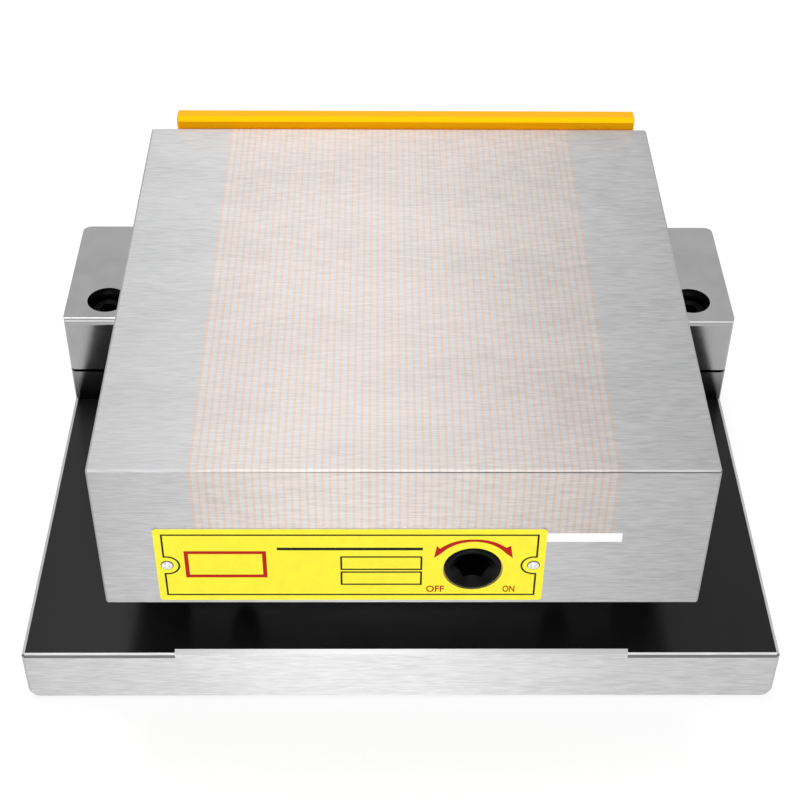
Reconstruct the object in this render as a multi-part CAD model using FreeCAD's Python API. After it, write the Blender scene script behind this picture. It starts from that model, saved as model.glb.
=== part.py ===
"""Fine-pole permanent magnet chuck on a single-tilt sine base.

Millimetres, +Z up, the front faces -Y and +X is to the right.
The origin is the centre of the base plate's underside.
At rest the chuck lies level and the magnet carriage is at OFF.
"""
import FreeCAD, Part
import math
import os

Vector = FreeCAD.Vector

# Chuck body
CHUCK_LENGTH = 150.0
CHUCK_DEPTH = 150.0
CHUCK_HEIGHT = 46.5
CHUCK_EDGE = 0.5
CHUCK_OVERHANG = 1.0
END_WALL = 12.0

# Pole pack in the work face
STEEL_STRIPS = 55
STEEL_STRIP = 1.34
COPPER_STRIP = 0.5
PACK_HEIGHT = 21.0
PACK_LEDGE = 2.85
RESIN_HEIGHT = 3.0
RESIN_OVERRUN = 2.6

# Bottom cover
COVER_THICKNESS = 4.0
COVER_LEDGE = 8.0
COVER_GAP = 0.1
COVER_SCREW = 3.0
COVER_SCREW_LENGTH = 9.0
COVER_SCREW_INSET = 14.0

# Base plate
WING_THICKNESS = 17.5
PAD_LENGTH = 119.0
PAD_STEP = 1.5
BASE_FOOT = 3.0
BASE_EDGE = 1.0

# Sine rollers and the body that carries them
ROLLER_RADIUS = 10.0
ROLLER_EDGE = 0.8
ROLLER_RECESS = 0.5
ROLLER_CENTRE_HOLE = 2.0
FRONT_ROLLER_LENGTH = 115.0
SINE_CENTRES = 100.0
HINGE_FROM_BACK = 22.0
REST_GAP = 0.1
SEAT_GAP = 0.02
BORE_CLEARANCE = 0.03
SINE_BODY_CLEARANCE = 2.6
SINE_BODY_INSET = 2.0
SINE_BODY_EDGE = 1.0
SINE_BODY_SCREW = 6.0
SINE_BODY_SCREW_LENGTH = 22.0
SINE_BODY_SCREW_SPACING = 50.0
SINE_BODY_HEAD_SINK = 0.8
ROLLER_SCREW = 5.0
ROLLER_SCREW_LENGTH = 22.0
ROLLER_SCREW_SPACING = 84.0
ROLLER_HEAD_SINK = 1.0

# Clamp blocks
BLOCK_LENGTH = 24.0
BLOCK_DEPTH = 48.0
BLOCK_HEIGHT = 31.0
BLOCK_EDGE = 1.8
BLOCK_CORNER = 2.5
BLOCK_SIDE_GAP = 1.0
SLIT_WIDTH = 1.0
LOCK_SCREW = 6.0
LOCK_SCREW_LENGTH = 30.0
LOCK_SCREW_FROM_FRONT = 10.0
LOCK_HEAD_SINK = 3.5
LOCK_HOLE_RADIUS = 5.9
BLOCK_SCREW = 5.0
BLOCK_SCREW_LENGTH = 20.0
BLOCK_SCREW_FROM_BACK = 6.0
BLOCK_SCREW_SINK = 0.8

# Drive shaft in the front wall
DRIVE_X = 17.3
DRIVE_BELOW_TOP = 33.2
SHAFT_RADIUS = 7.15
SHAFT_PROUD = 0.8
SHAFT_EDGE = 0.8
SHAFT_INNER_REACH = 3.0
SHAFT_LEAD_IN = 2.0
SOCKET_FLATS = 8.0
SOCKET_DEPTH = 9.0
BUSH_WALL = 1.9
SHAFT_CLEARANCE = 0.03
SEAL_SECTION = 1.2
SEAL_GROOVE_OVERCUT = 0.4
SEAL_FROM_FRONT = 3.0
STOP_GROOVE_DEPTH = 2.0
STOP_GROOVE_FROM_FRONT = 8.0
SET_SCREW = 4.0
SET_SCREW_SINK = 0.4
SET_SCREW_SHAFT_GAP = 0.4
DOG_RADIUS = 1.25
DOG_CLEARANCE = 0.25
CRANK_THROW = 2.5
CRANK_PIN_RADIUS = 2.5
CRANK_RING_WALL = 1.5
CRANK_END_GAP = 0.3

# Magnet carriage
CARRIAGE_SIDE_GAP = 0.5
CARRIAGE_TOP_GAP = 0.8
GUIDE_THICKNESS = 1.0
GUIDE_WIDTH = 12.0
GUIDE_SPACING = 70.0
GUIDE_END_GAP = 1.0
SLIDE_GAP = 0.05
TRAY_WALL = 2.5
TRAY_FLOOR = 2.0
TRAY_HEIGHT = 10.0
YOKE_THICKNESS = 5.0
YOKE_SIDE_SPARE = 0.15
SLAB_COUNT = 17

# Name plate on the front face
PLATE_LENGTH = 96.0
PLATE_HEIGHT = 25.5
PLATE_THICKNESS = 0.5
PLATE_CORNER = 1.0
PLATE_CENTRE_X = -13.0
PLATE_BELOW_TOP = 19.1
PLATE_HOLE_GAP = 0.3
RIVET_INSET = 2.7
RIVET_RADIUS = 1.0
RIVET_HEAD_RADIUS = 1.6
RIVET_HEAD_HEIGHT = 0.8
RIVET_LENGTH = 6.0

# Rear stop plate
STOP_THICKNESS = 5.0
STOP_HEIGHT = 34.0
STOP_ABOVE_FACE = 3.5
STOP_END = 11.0
STOP_SHIFT = 2.0
STOP_EDGE = 1.2
STOP_END_EDGE = 0.5
STOP_TRAVEL = 4.0
STOP_SCREW = 6.0
STOP_SCREW_LENGTH = 18.0
STOP_SCREW_FROM_PACK = 7.5
STOP_SCREW_BELOW_TOP = 17.5
WASHER_THICKNESS = 1.6
WASHER_RADIUS = 6.0

# Fastener fits, the same for every size
THREAD_CLEARANCE = 0.05
HOLE_CLEARANCE = 0.3
HEAD_CLEARANCE = 0.5
CONE_CLEARANCE = 0.05
HEAD_SHARE = 0.8
HEAD_ALLOWANCE = 0.2
KEY_SHARE = 0.8
KEY_ALLOWANCE = 0.1
FLAT_KEY_SHARE = 0.6
HEAD_CHAMFER = 0.4
RECESS_SHARE = 0.5
CUT_MARGIN = 1.0

# How closely two directions or two lengths agree when they count as the same
ALIGNED_RATIO = 0.999
SAME_LENGTH = 0.0001

# Sizes that follow from the ones above
PACK_HALF = (STEEL_STRIPS * STEEL_STRIP + (STEEL_STRIPS + 1) * COPPER_STRIP) / 2
CAVITY_HALF = PACK_HALF - PACK_LEDGE
COVER_HALF = CAVITY_HALF + COVER_LEDGE
BASE_LENGTH = CHUCK_LENGTH + 2 * (BLOCK_SIDE_GAP + BLOCK_LENGTH)
BASE_BACK = CHUCK_DEPTH / 2
PAD_TOP = WING_THICKNESS + PAD_STEP

HINGE_Y = BASE_BACK - HINGE_FROM_BACK
HINGE_Z = PAD_TOP + REST_GAP + ROLLER_RADIUS
FRONT_ROLLER_Y = HINGE_Y - SINE_CENTRES

CHUCK_LOW = HINGE_Z + ROLLER_RADIUS + SEAT_GAP
CHUCK_TOP = CHUCK_LOW + CHUCK_HEIGHT
CHUCK_FRONT = -CHUCK_DEPTH / 2 - CHUCK_OVERHANG
CHUCK_BACK = CHUCK_FRONT + CHUCK_DEPTH
PACK_LOW = CHUCK_TOP - PACK_HEIGHT
COVER_TOP = CHUCK_LOW + COVER_THICKNESS
CAVITY_FRONT = CHUCK_FRONT + END_WALL
CAVITY_BACK = CHUCK_BACK - END_WALL

DRIVE_Z = CHUCK_TOP - DRIVE_BELOW_TOP
SHAFT_FRONT = CHUCK_FRONT - SHAFT_PROUD
SHAFT_BACK = CAVITY_FRONT + SHAFT_INNER_REACH
BUSH_BORE = SHAFT_RADIUS + SHAFT_CLEARANCE
BUSH_RADIUS = BUSH_BORE + BUSH_WALL
CRANK_RING_BORE = CRANK_PIN_RADIUS + SHAFT_CLEARANCE
CRANK_RING_RADIUS = CRANK_RING_BORE + CRANK_RING_WALL

# The largest distance between a turning crank and a carriage that moves in proportion to its angle
CRANK_LAG_ANGLE = math.acos(2 / math.pi)
CRANK_LAG = CRANK_THROW * (math.sin(CRANK_LAG_ANGLE) - CRANK_LAG_ANGLE * 2 / math.pi)
CARRIAGE_HALF = CAVITY_HALF - CRANK_THROW - CARRIAGE_SIDE_GAP
CARRIAGE_X = -CRANK_THROW
CARRIAGE_LOW = COVER_TOP + GUIDE_THICKNESS + SLIDE_GAP
CARRIAGE_TOP = PACK_LOW - CARRIAGE_TOP_GAP
YOKE_FRONT = SHAFT_BACK + CRANK_END_GAP
YOKE_BACK = YOKE_FRONT + YOKE_THICKNESS
TRAY_BACK = CAVITY_BACK - CARRIAGE_SIDE_GAP
SLABS_HALF = CARRIAGE_HALF - TRAY_WALL
SLAB_THICKNESS = 2 * SLABS_HALF / SLAB_COUNT

BLOCK_BACK = BASE_BACK
BLOCK_FRONT = BLOCK_BACK - BLOCK_DEPTH
BLOCK_INNER = CHUCK_LENGTH / 2 + BLOCK_SIDE_GAP
BLOCK_OUTER = BLOCK_INNER + BLOCK_LENGTH
BLOCK_CENTRE = BLOCK_INNER + BLOCK_LENGTH / 2
BLOCK_TOP = WING_THICKNESS + BLOCK_HEIGHT
LOCK_SCREW_Y = BLOCK_FRONT + LOCK_SCREW_FROM_FRONT
BLOCK_SCREW_Y = BLOCK_BACK - BLOCK_SCREW_FROM_BACK

SINE_BODY_LOW = PAD_TOP + SINE_BODY_CLEARANCE
SINE_BODY_HALF = CHUCK_LENGTH / 2 - SINE_BODY_INSET
SINE_BODY_FRONT = FRONT_ROLLER_Y + ROLLER_RADIUS + SEAT_GAP
SINE_BODY_BACK = HINGE_Y - ROLLER_RADIUS - SEAT_GAP
SINE_BODY_SCREW_X = (COVER_HALF + CHUCK_LENGTH / 2) / 2
SINE_BODY_MIDDLE = (SINE_BODY_FRONT + SINE_BODY_BACK) / 2

PLATE_FRONT = CHUCK_FRONT - PLATE_THICKNESS
PLATE_TOP = CHUCK_TOP - PLATE_BELOW_TOP
PLATE_CENTRE_Z = PLATE_TOP - PLATE_HEIGHT / 2

STOP_TOP = CHUCK_TOP + STOP_ABOVE_FACE
STOP_LOW = STOP_TOP - STOP_HEIGHT
STOP_BACK = CHUCK_BACK + STOP_THICKNESS
STOP_SCREW_X = PACK_HALF + STOP_SCREW_FROM_PACK
STOP_SCREW_Z = CHUCK_TOP - STOP_SCREW_BELOW_TOP
STOP_HALF = STOP_SCREW_X + STOP_END


def box(x_range, y_range, z_range):
    """Rectangular block between the given limits."""
    size = [high - low for low, high in (x_range, y_range, z_range)]
    return Part.makeBox(size[0], size[1], size[2], Vector(x_range[0], y_range[0], z_range[0]))


def rod(radius, start, end):
    """Round bar from one point to another."""
    axis = end - start
    return Part.makeCylinder(radius, axis.Length, start, axis)


def tube(inner, outer, start, end):
    """Round bar with a through bore."""
    return rod(outer, start, end).cut(rod(inner, start, end))


def cone(start_radius, end_radius, start, end):
    """Round taper from one point to another."""
    axis = end - start
    return Part.makeCone(start_radius, end_radius, axis.Length, start, axis)


def join(solids):
    """One shape out of solids that touch or overlap."""
    return solids[0].multiFuse(solids[1:]).removeSplitter()


def prism(points, sweep):
    """Closed polygon pushed along a vector."""
    return Part.Face(Part.makePolygon(points + [points[0]])).extrude(sweep)


def hexagon(flats, start, end):
    """Six-sided bar from one point to another."""
    axis = end - start
    corner = flats / 2 / math.cos(math.pi / 6)
    angles = [math.radians(60 * i) for i in range(6)]
    points = [Vector(corner * math.cos(a), corner * math.sin(a), 0) for a in angles]
    bar = prism(points, Vector(0, 0, axis.Length))
    bar.Placement = FreeCAD.Placement(start, FreeCAD.Rotation(Vector(0, 0, 1), axis))
    return bar


def mirrored(shape):
    """The same shape on the other side of the middle plane."""
    return shape.mirror(Vector(0, 0, 0), Vector(1, 0, 0))


def edges_where(shape, test):
    """Edges whose centre passes a test."""
    return [edge for edge in shape.Edges if test(edge)]


def along(edge, axis):
    """True where an edge is straight and runs along an axis."""
    if not isinstance(edge.Curve, Part.Line):
        return False
    return abs(edge.Curve.Direction.dot(axis)) > ALIGNED_RATIO


def near(value, target):
    """True where two lengths are the same."""
    return abs(value - target) < SAME_LENGTH


def head_radius(size):
    """Head of a socket screw of a metric size."""
    return HEAD_SHARE * size + HEAD_ALLOWANCE


def socket_flats(size):
    """Hexagon key size for a socket screw."""
    return KEY_SHARE * size + KEY_ALLOWANCE


def cap_screw(size, seat, direction, length):
    """Socket screw: its head stands on the seat, its shank goes down along the direction."""
    top = seat - direction * size
    head = rod(head_radius(size), top, seat)
    shank = rod(size / 2, seat, seat + direction * length)
    recess = hexagon(socket_flats(size), top, top + direction * size * RECESS_SHARE)
    return join([head, shank]).cut(recess)


def crowned_screw(size, seat, direction, length):
    """Socket screw in plain view, whose head has a broken upper edge."""
    screw = cap_screw(size, seat, direction, length)
    top = seat - direction * size

    def head_rim(edge):
        on_top = abs((edge.CenterOfMass - top).dot(direction)) < HEAD_CHAMFER
        return on_top and isinstance(edge.Curve, Part.Circle) and near(edge.Curve.Radius, head_radius(size))

    return screw.makeChamfer(HEAD_CHAMFER, edges_where(screw, head_rim))


def flat_screw(size, face, direction, length):
    """Countersunk screw whose head is flush with the face."""
    neck = face + direction * (size / 2)
    head = cone(size, size / 2, face, neck)
    shank = rod(size / 2, neck, face + direction * length)
    recess = hexagon(FLAT_KEY_SHARE * size, face, face + direction * size * RECESS_SHARE)
    return join([head, shank]).cut(recess)


def flat_screw_hole(size, face, direction, thickness):
    """Countersink and clearance hole through a plate."""
    wide = size + CONE_CLEARANCE
    sink = cone(wide, 0, face, face + direction * wide)
    return join([sink, rod(size / 2 + HOLE_CLEARANCE, face, face + direction * thickness)])


def thread_hole(size, mouth, direction, depth):
    """Plain cylinder that stands for a threaded hole."""
    return rod(size / 2 + THREAD_CLEARANCE, mouth - direction * THREAD_CLEARANCE, mouth + direction * depth)


def head_hole(size, seat, direction, sink):
    """Counterbore for a socket screw, open above the head."""
    mouth = seat - direction * (size + sink)
    return rod(head_radius(size) + HEAD_CLEARANCE, mouth - direction * THREAD_CLEARANCE, seat)


X = Vector(1, 0, 0)
Y = Vector(0, 1, 0)
Z = Vector(0, 0, 1)


def base_plate():
    """Ground plate with two wings and a raised pad that the rollers rest over."""
    half = BASE_LENGTH / 2
    plate = box((-half, half), (-BASE_BACK, BASE_BACK), (0, WING_THICKNESS))
    feet = edges_where(plate, lambda edge: along(edge, Y) and near(edge.BoundBox.ZMin, 0))
    plate = plate.makeFillet(BASE_FOOT, feet)
    broken = edges_where(plate, lambda edge: not along(edge, Y) or near(edge.BoundBox.ZMin, WING_THICKNESS))
    plate = plate.makeChamfer(BASE_EDGE, broken)
    pad = box((-PAD_LENGTH / 2, PAD_LENGTH / 2), (-BASE_BACK, BASE_BACK), (WING_THICKNESS / 2, PAD_TOP))
    ends = edges_where(pad, lambda edge: along(edge, X) and near(edge.BoundBox.ZMin, PAD_TOP))
    pad = pad.makeChamfer(BASE_EDGE, ends)
    plate = join([plate, pad])
    for side in (-1, 1):
        plate = plate.cut(base_holes(side))
    return plate


def base_holes(side):
    """Holes in one wing for its clamp block."""
    lock = thread_hole(LOCK_SCREW, Vector(side * BLOCK_CENTRE, LOCK_SCREW_Y, WING_THICKNESS), -Z,
                       WING_THICKNESS - lock_screw_tip() + CUT_MARGIN)
    seat = block_screw_seat(side)
    clearance = rod(BLOCK_SCREW / 2 + HOLE_CLEARANCE, seat, seat + Z * WING_THICKNESS)
    sink = head_hole(BLOCK_SCREW, seat, Z, BLOCK_SCREW_SINK)
    return Part.makeCompound([lock, clearance, sink])


def lock_screw_seat(side):
    """Centre of the face under a lock screw's head."""
    return Vector(side * BLOCK_CENTRE, LOCK_SCREW_Y, BLOCK_TOP - LOCK_HEAD_SINK - LOCK_SCREW)


def lock_screw_tip():
    """Height of a lock screw's lower end."""
    return lock_screw_seat(1).z - LOCK_SCREW_LENGTH


def block_screw_seat(side):
    """Centre of the face that a block screw's head bears on, inside the base."""
    return Vector(side * BLOCK_CENTRE, BLOCK_SCREW_Y, BLOCK_SCREW + BLOCK_SCREW_SINK)


def clamp_block():
    """Right block: bored for the hinge roller and split in front, so that its screw can grip it."""
    block = box((BLOCK_INNER, BLOCK_OUTER), (BLOCK_FRONT, BLOCK_BACK), (WING_THICKNESS, BLOCK_TOP))

    def outer_back(edge):
        limits = edge.BoundBox
        return along(edge, Z) and near(limits.XMin, BLOCK_OUTER) and near(limits.YMin, BLOCK_BACK)

    def front_top_or_outer(edge):
        limits = edge.BoundBox
        on_top = along(edge, X) and near(limits.ZMin, BLOCK_TOP)
        outer = along(edge, Z) and near(limits.XMin, BLOCK_OUTER)
        return near(limits.YMax, BLOCK_FRONT) and (on_top or outer)

    block = block.makeFillet(BLOCK_CORNER, edges_where(block, outer_back))
    block = block.makeFillet(BLOCK_EDGE, edges_where(block, front_top_or_outer))
    inner_end = Vector(BLOCK_INNER - CUT_MARGIN, HINGE_Y, HINGE_Z)
    outer_end = Vector(BLOCK_OUTER + CUT_MARGIN, HINGE_Y, HINGE_Z)
    bore = rod(ROLLER_RADIUS + BORE_CLEARANCE, inner_end, outer_end)
    slit = box((inner_end.x, outer_end.x), (BLOCK_FRONT - CUT_MARGIN, HINGE_Y),
               (HINGE_Z - SLIT_WIDTH / 2, HINGE_Z + SLIT_WIDTH / 2))
    seat = lock_screw_seat(1)
    sink = rod(LOCK_HOLE_RADIUS, seat, Vector(seat.x, seat.y, BLOCK_TOP + CUT_MARGIN))
    upper = rod(LOCK_SCREW / 2 + HOLE_CLEARANCE, seat, Vector(seat.x, seat.y, HINGE_Z))
    lower = thread_hole(LOCK_SCREW, Vector(seat.x, seat.y, HINGE_Z), -Z,
                        HINGE_Z - WING_THICKNESS + CUT_MARGIN)
    screw = block_screw_seat(1)
    rear = thread_hole(BLOCK_SCREW, Vector(screw.x, screw.y, WING_THICKNESS), Z,
                       screw.z + BLOCK_SCREW_LENGTH - WING_THICKNESS + CUT_MARGIN)
    return block.cut([bore, slit, sink, upper, lower, rear])


def lock_screw():
    """Right lock screw, which closes the slit and grips the hinge roller."""
    return crowned_screw(LOCK_SCREW, lock_screw_seat(1), -Z, LOCK_SCREW_LENGTH)


def block_screws():
    """One screw a side, from beneath the base into the back of each block."""
    return [cap_screw(BLOCK_SCREW, block_screw_seat(side), Z, BLOCK_SCREW_LENGTH) for side in (-1, 1)]


def roller(y, half):
    """Ground roller along X with broken edges."""
    middle = Vector(0, y, HINGE_Z)
    bar = rod(ROLLER_RADIUS, middle - X * half, middle + X * half)
    rims = edges_where(bar, lambda edge: not isinstance(edge.Curve, Part.Line))
    return bar.makeChamfer(ROLLER_EDGE, rims)


def roller_screw_seat(y, outward, side):
    """Seat of the head of a screw through a roller into the sine body."""
    depth = ROLLER_RADIUS - ROLLER_HEAD_SINK - ROLLER_SCREW
    return Vector(side * ROLLER_SCREW_SPACING / 2, y + outward * depth, HINGE_Z)


def roller_screw_holes(y, outward):
    """Counterbored holes across a roller."""
    holes = []
    for side in (-1, 1):
        seat = roller_screw_seat(y, outward, side)
        inward = Y * -outward
        holes.append(head_hole(ROLLER_SCREW, seat, inward, ROLLER_HEAD_SINK + CUT_MARGIN))
        holes.append(rod(ROLLER_SCREW / 2 + HOLE_CLEARANCE, seat, seat + inward * 2 * ROLLER_RADIUS))
    return holes


def hinge_roller():
    """Rear roller: the tilt turns on it inside the two clamp blocks. Its ends keep their centre holes."""
    half = BASE_LENGTH / 2 - ROLLER_RECESS
    holes = roller_screw_holes(HINGE_Y, 1)
    for side in (-1, 1):
        end = Vector(side * half, HINGE_Y, HINGE_Z)
        holes.append(cone(ROLLER_CENTRE_HOLE, 0, end, end - X * side * ROLLER_CENTRE_HOLE))
    return roller(HINGE_Y, half).cut(holes)


def front_roller():
    """Front roller, which stands on gauge blocks when the chuck is tilted."""
    return roller(FRONT_ROLLER_Y, FRONT_ROLLER_LENGTH / 2).cut(roller_screw_holes(FRONT_ROLLER_Y, -1))


def roller_screws():
    """Four screws that pull the rollers against their shoulders."""
    screws = []
    for y, outward in ((FRONT_ROLLER_Y, -1), (HINGE_Y, 1)):
        for side in (-1, 1):
            seat = roller_screw_seat(y, outward, side)
            screws.append(cap_screw(ROLLER_SCREW, seat, Y * -outward, ROLLER_SCREW_LENGTH))
    return screws


def sine_body_screw_seats():
    """Seats of the screws that hold the sine body under the chuck's rails."""
    seat_z = SINE_BODY_LOW + SINE_BODY_HEAD_SINK + SINE_BODY_SCREW
    seats = []
    for side in (-1, 1):
        for end in (-1, 1):
            y = SINE_BODY_MIDDLE + end * SINE_BODY_SCREW_SPACING / 2
            seats.append(Vector(side * SINE_BODY_SCREW_X, y, seat_z))
    return seats


def sine_body():
    """Thick plate under the chuck, whose two end faces are the shoulders of the rollers."""
    body = box((-SINE_BODY_HALF, SINE_BODY_HALF), (SINE_BODY_FRONT, SINE_BODY_BACK),
               (SINE_BODY_LOW, CHUCK_LOW))
    lower = edges_where(body, lambda edge: near(edge.BoundBox.ZMax, SINE_BODY_LOW))
    body = body.makeChamfer(SINE_BODY_EDGE, lower)
    holes = []
    for seat in sine_body_screw_seats():
        holes.append(head_hole(SINE_BODY_SCREW, seat, Z, SINE_BODY_HEAD_SINK))
        holes.append(rod(SINE_BODY_SCREW / 2 + HOLE_CLEARANCE, seat, Vector(seat.x, seat.y, CHUCK_LOW)))
    for y, outward, face in ((FRONT_ROLLER_Y, -1, SINE_BODY_FRONT), (HINGE_Y, 1, SINE_BODY_BACK)):
        for side in (-1, 1):
            seat = roller_screw_seat(y, outward, side)
            depth = ROLLER_SCREW_LENGTH - abs(face - seat.y) + CUT_MARGIN
            holes.append(thread_hole(ROLLER_SCREW, Vector(seat.x, face, seat.z), Y * -outward, depth))
    return body.cut(holes)


def sine_body_screws():
    """Four screws from beneath through the sine body into the rails of the chuck."""
    return [cap_screw(SINE_BODY_SCREW, seat, Z, SINE_BODY_SCREW_LENGTH) for seat in sine_body_screw_seats()]


def strip(x, width):
    """One upright strip of the pole pack, with the broken edge of the chuck at both ends."""
    points = [Vector(x, CHUCK_FRONT, PACK_LOW), Vector(x, CHUCK_FRONT, CHUCK_TOP - CHUCK_EDGE),
              Vector(x, CHUCK_FRONT + CHUCK_EDGE, CHUCK_TOP), Vector(x, CHUCK_BACK - CHUCK_EDGE, CHUCK_TOP),
              Vector(x, CHUCK_BACK, CHUCK_TOP - CHUCK_EDGE), Vector(x, CHUCK_BACK, PACK_LOW)]
    return prism(points, X * width)


def copper_spacers():
    """Thin copper strips, one on each side of every steel strip."""
    pitch = STEEL_STRIP + COPPER_STRIP
    return [strip(-PACK_HALF + i * pitch, COPPER_STRIP) for i in range(STEEL_STRIPS + 1)]


def steel_laminations():
    """Steel pole strips between the copper ones."""
    pitch = STEEL_STRIP + COPPER_STRIP
    return [strip(-PACK_HALF + COPPER_STRIP + i * pitch, STEEL_STRIP) for i in range(STEEL_STRIPS)]


def resin_strips():
    """Cast strips that seal the pack against the front and the rear wall."""
    half = PACK_HALF + RESIN_OVERRUN
    z_range = (PACK_LOW - RESIN_HEIGHT, PACK_LOW)
    front = box((-half, half), (CHUCK_FRONT, CAVITY_FRONT), z_range)
    rear = box((-half, half), (CAVITY_BACK, CHUCK_BACK), z_range)
    return [front, rear]


def cover_blank(gap):
    """Room of the bottom cover, or the cover itself with its gap."""
    half = COVER_HALF - gap
    y_range = (CAVITY_FRONT + gap, CAVITY_BACK - gap)
    return box((-half, half), y_range, (CHUCK_LOW, COVER_TOP))


def cover_screw_faces():
    """Centres of the cover screws on the underside."""
    x = (CAVITY_HALF + COVER_HALF) / 2
    middle = (CAVITY_FRONT + CAVITY_BACK) / 2
    reach = (CAVITY_BACK - CAVITY_FRONT) / 2 - COVER_SCREW_INSET
    return [Vector(side * x, middle + end * reach, CHUCK_LOW) for side in (-1, 1) for end in (-1, 1)]


def bottom_cover():
    """Flush plate that closes the chuck from beneath."""
    holes = [flat_screw_hole(COVER_SCREW, face, Z, COVER_THICKNESS) for face in cover_screw_faces()]
    return cover_blank(COVER_GAP).cut(holes)


def cover_screws():
    """Countersunk screws of the bottom cover."""
    return [flat_screw(COVER_SCREW, face, Z, COVER_SCREW_LENGTH) for face in cover_screw_faces()]


def set_screw_y():
    """Place of the half-turn stop along the drive shaft."""
    return CHUCK_FRONT + STOP_GROOVE_FROM_FRONT


def set_screw_hole():
    """Threaded hole from the underside, through the front wall and the bush."""
    mouth = Vector(DRIVE_X, set_screw_y(), CHUCK_LOW)
    return thread_hole(SET_SCREW, mouth, Z, DRIVE_Z - CHUCK_LOW)


def drive_stop_screw():
    """Set screw whose dog point runs in the half-turn groove of the shaft."""
    low = Vector(DRIVE_X, set_screw_y(), CHUCK_LOW + SET_SCREW_SINK)
    shoulder = Vector(low.x, low.y, DRIVE_Z - SHAFT_RADIUS - SET_SCREW_SHAFT_GAP)
    tip = Vector(low.x, low.y, DRIVE_Z - SHAFT_RADIUS + STOP_GROOVE_DEPTH - DOG_CLEARANCE)
    screw = join([rod(SET_SCREW / 2, low, shoulder), rod(DOG_RADIUS, shoulder, tip)])
    return screw.cut(hexagon(SET_SCREW / 2, low, low + Z * SET_SCREW * RECESS_SHARE))


def chuck_outline():
    """The chuck's outer block with broken edges."""
    half = CHUCK_LENGTH / 2
    block = box((-half, half), (CHUCK_FRONT, CHUCK_BACK), (CHUCK_LOW, CHUCK_TOP))
    return block.makeChamfer(CHUCK_EDGE, block.Edges)


def chuck_frame():
    """Steel frame: two solid rails, two end walls, the seat of the pack and the magnet space."""
    pack = box((-PACK_HALF, PACK_HALF), (CHUCK_FRONT - CUT_MARGIN, CHUCK_BACK + CUT_MARGIN),
               (PACK_LOW, CHUCK_TOP + CUT_MARGIN))
    cavity = box((-CAVITY_HALF, CAVITY_HALF), (CAVITY_FRONT, CAVITY_BACK), (CHUCK_LOW, PACK_LOW))
    front = Vector(DRIVE_X, CHUCK_FRONT - CUT_MARGIN, DRIVE_Z)
    drive = rod(BUSH_RADIUS, front, front + Y * (END_WALL + 2 * CUT_MARGIN))
    cuts = [pack, cavity, cover_blank(0), drive, set_screw_hole()] + resin_strips()
    for face in cover_screw_faces():
        cuts.append(thread_hole(COVER_SCREW, face, Z, COVER_SCREW_LENGTH + CUT_MARGIN))
    for seat in sine_body_screw_seats():
        mouth = Vector(seat.x, seat.y, CHUCK_LOW)
        depth = seat.z + SINE_BODY_SCREW_LENGTH - CHUCK_LOW + CUT_MARGIN
        cuts.append(thread_hole(SINE_BODY_SCREW, mouth, Z, depth))
    for side in (-1, 1):
        mouth = Vector(side * STOP_SCREW_X, CHUCK_BACK, STOP_SCREW_Z)
        depth = STOP_SCREW_LENGTH - WASHER_THICKNESS - STOP_THICKNESS + CUT_MARGIN
        cuts.append(thread_hole(STOP_SCREW, mouth, -Y, depth))
        cuts.append(thread_hole(2 * RIVET_RADIUS, rivet_seat(side), Y, RIVET_LENGTH))
    return chuck_outline().cut(cuts)


def drive_bush():
    """Bush of the drive shaft, with the groove of its seal."""
    front = Vector(DRIVE_X, CHUCK_FRONT, DRIVE_Z)
    bush = tube(BUSH_BORE, BUSH_RADIUS, front, front + Y * END_WALL)
    low = front + Y * (SEAL_FROM_FRONT - SEAL_SECTION / 2)
    groove = tube(BUSH_BORE - SEAL_GROOVE_OVERCUT, BUSH_BORE + SEAL_SECTION, low, low + Y * SEAL_SECTION)
    return bush.cut([groove, set_screw_hole()])


def drive_seal():
    """Square ring in the bush that keeps coolant out of the chuck."""
    low = Vector(DRIVE_X, CHUCK_FRONT + SEAL_FROM_FRONT - SEAL_SECTION / 2, DRIVE_Z)
    return tube(BUSH_BORE, BUSH_BORE + SEAL_SECTION, low, low + Y * SEAL_SECTION)


def stop_groove():
    """Half-turn groove in the shaft, from its lowest point round the right side to its highest."""
    core = SHAFT_RADIUS - STOP_GROOVE_DEPTH
    half_width = DOG_RADIUS + DOG_CLEARANCE
    spare = math.degrees(half_width / core)
    start = Vector(DRIVE_X, set_screw_y() - half_width, DRIVE_Z)
    end = start + Y * 2 * half_width
    outer = Part.makeCylinder(SHAFT_RADIUS + CUT_MARGIN, 2 * half_width, start, Y, 180 + 2 * spare)
    middle = outer.CenterOfMass - start
    outer.rotate(start, Y, math.degrees(math.atan2(middle.z, middle.x)))
    return outer.cut(rod(core, start - Y * CUT_MARGIN, end + Y * CUT_MARGIN))


def drive_shaft():
    """Shaft with the key socket in front, the stop groove and the crank pin at its inner end."""
    front = Vector(DRIVE_X, SHAFT_FRONT, DRIVE_Z)
    back = Vector(DRIVE_X, SHAFT_BACK, DRIVE_Z)
    pin = back - X * CRANK_THROW
    body = rod(SHAFT_RADIUS, front, back)
    rim = edges_where(body, lambda edge: near(edge.BoundBox.YMax, SHAFT_FRONT))
    body = body.makeFillet(SHAFT_EDGE, rim)
    shaft = join([body, rod(CRANK_PIN_RADIUS, pin, pin + Y * YOKE_THICKNESS)])
    socket = hexagon(SOCKET_FLATS, front, front + Y * SOCKET_DEPTH)
    mouth = SOCKET_FLATS / 2 + SHAFT_LEAD_IN
    lead_in = cone(mouth, mouth - SHAFT_LEAD_IN, front, front + Y * SHAFT_LEAD_IN)
    return shaft.cut([socket, lead_in, stop_groove()])


def crank_ring():
    """Hardened ring that turns on the crank pin in the slot of the yoke."""
    start = Vector(DRIVE_X - CRANK_THROW, YOKE_FRONT, DRIVE_Z)
    return tube(CRANK_RING_BORE, CRANK_RING_RADIUS, start, start + Y * (YOKE_THICKNESS - CRANK_END_GAP))


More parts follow.
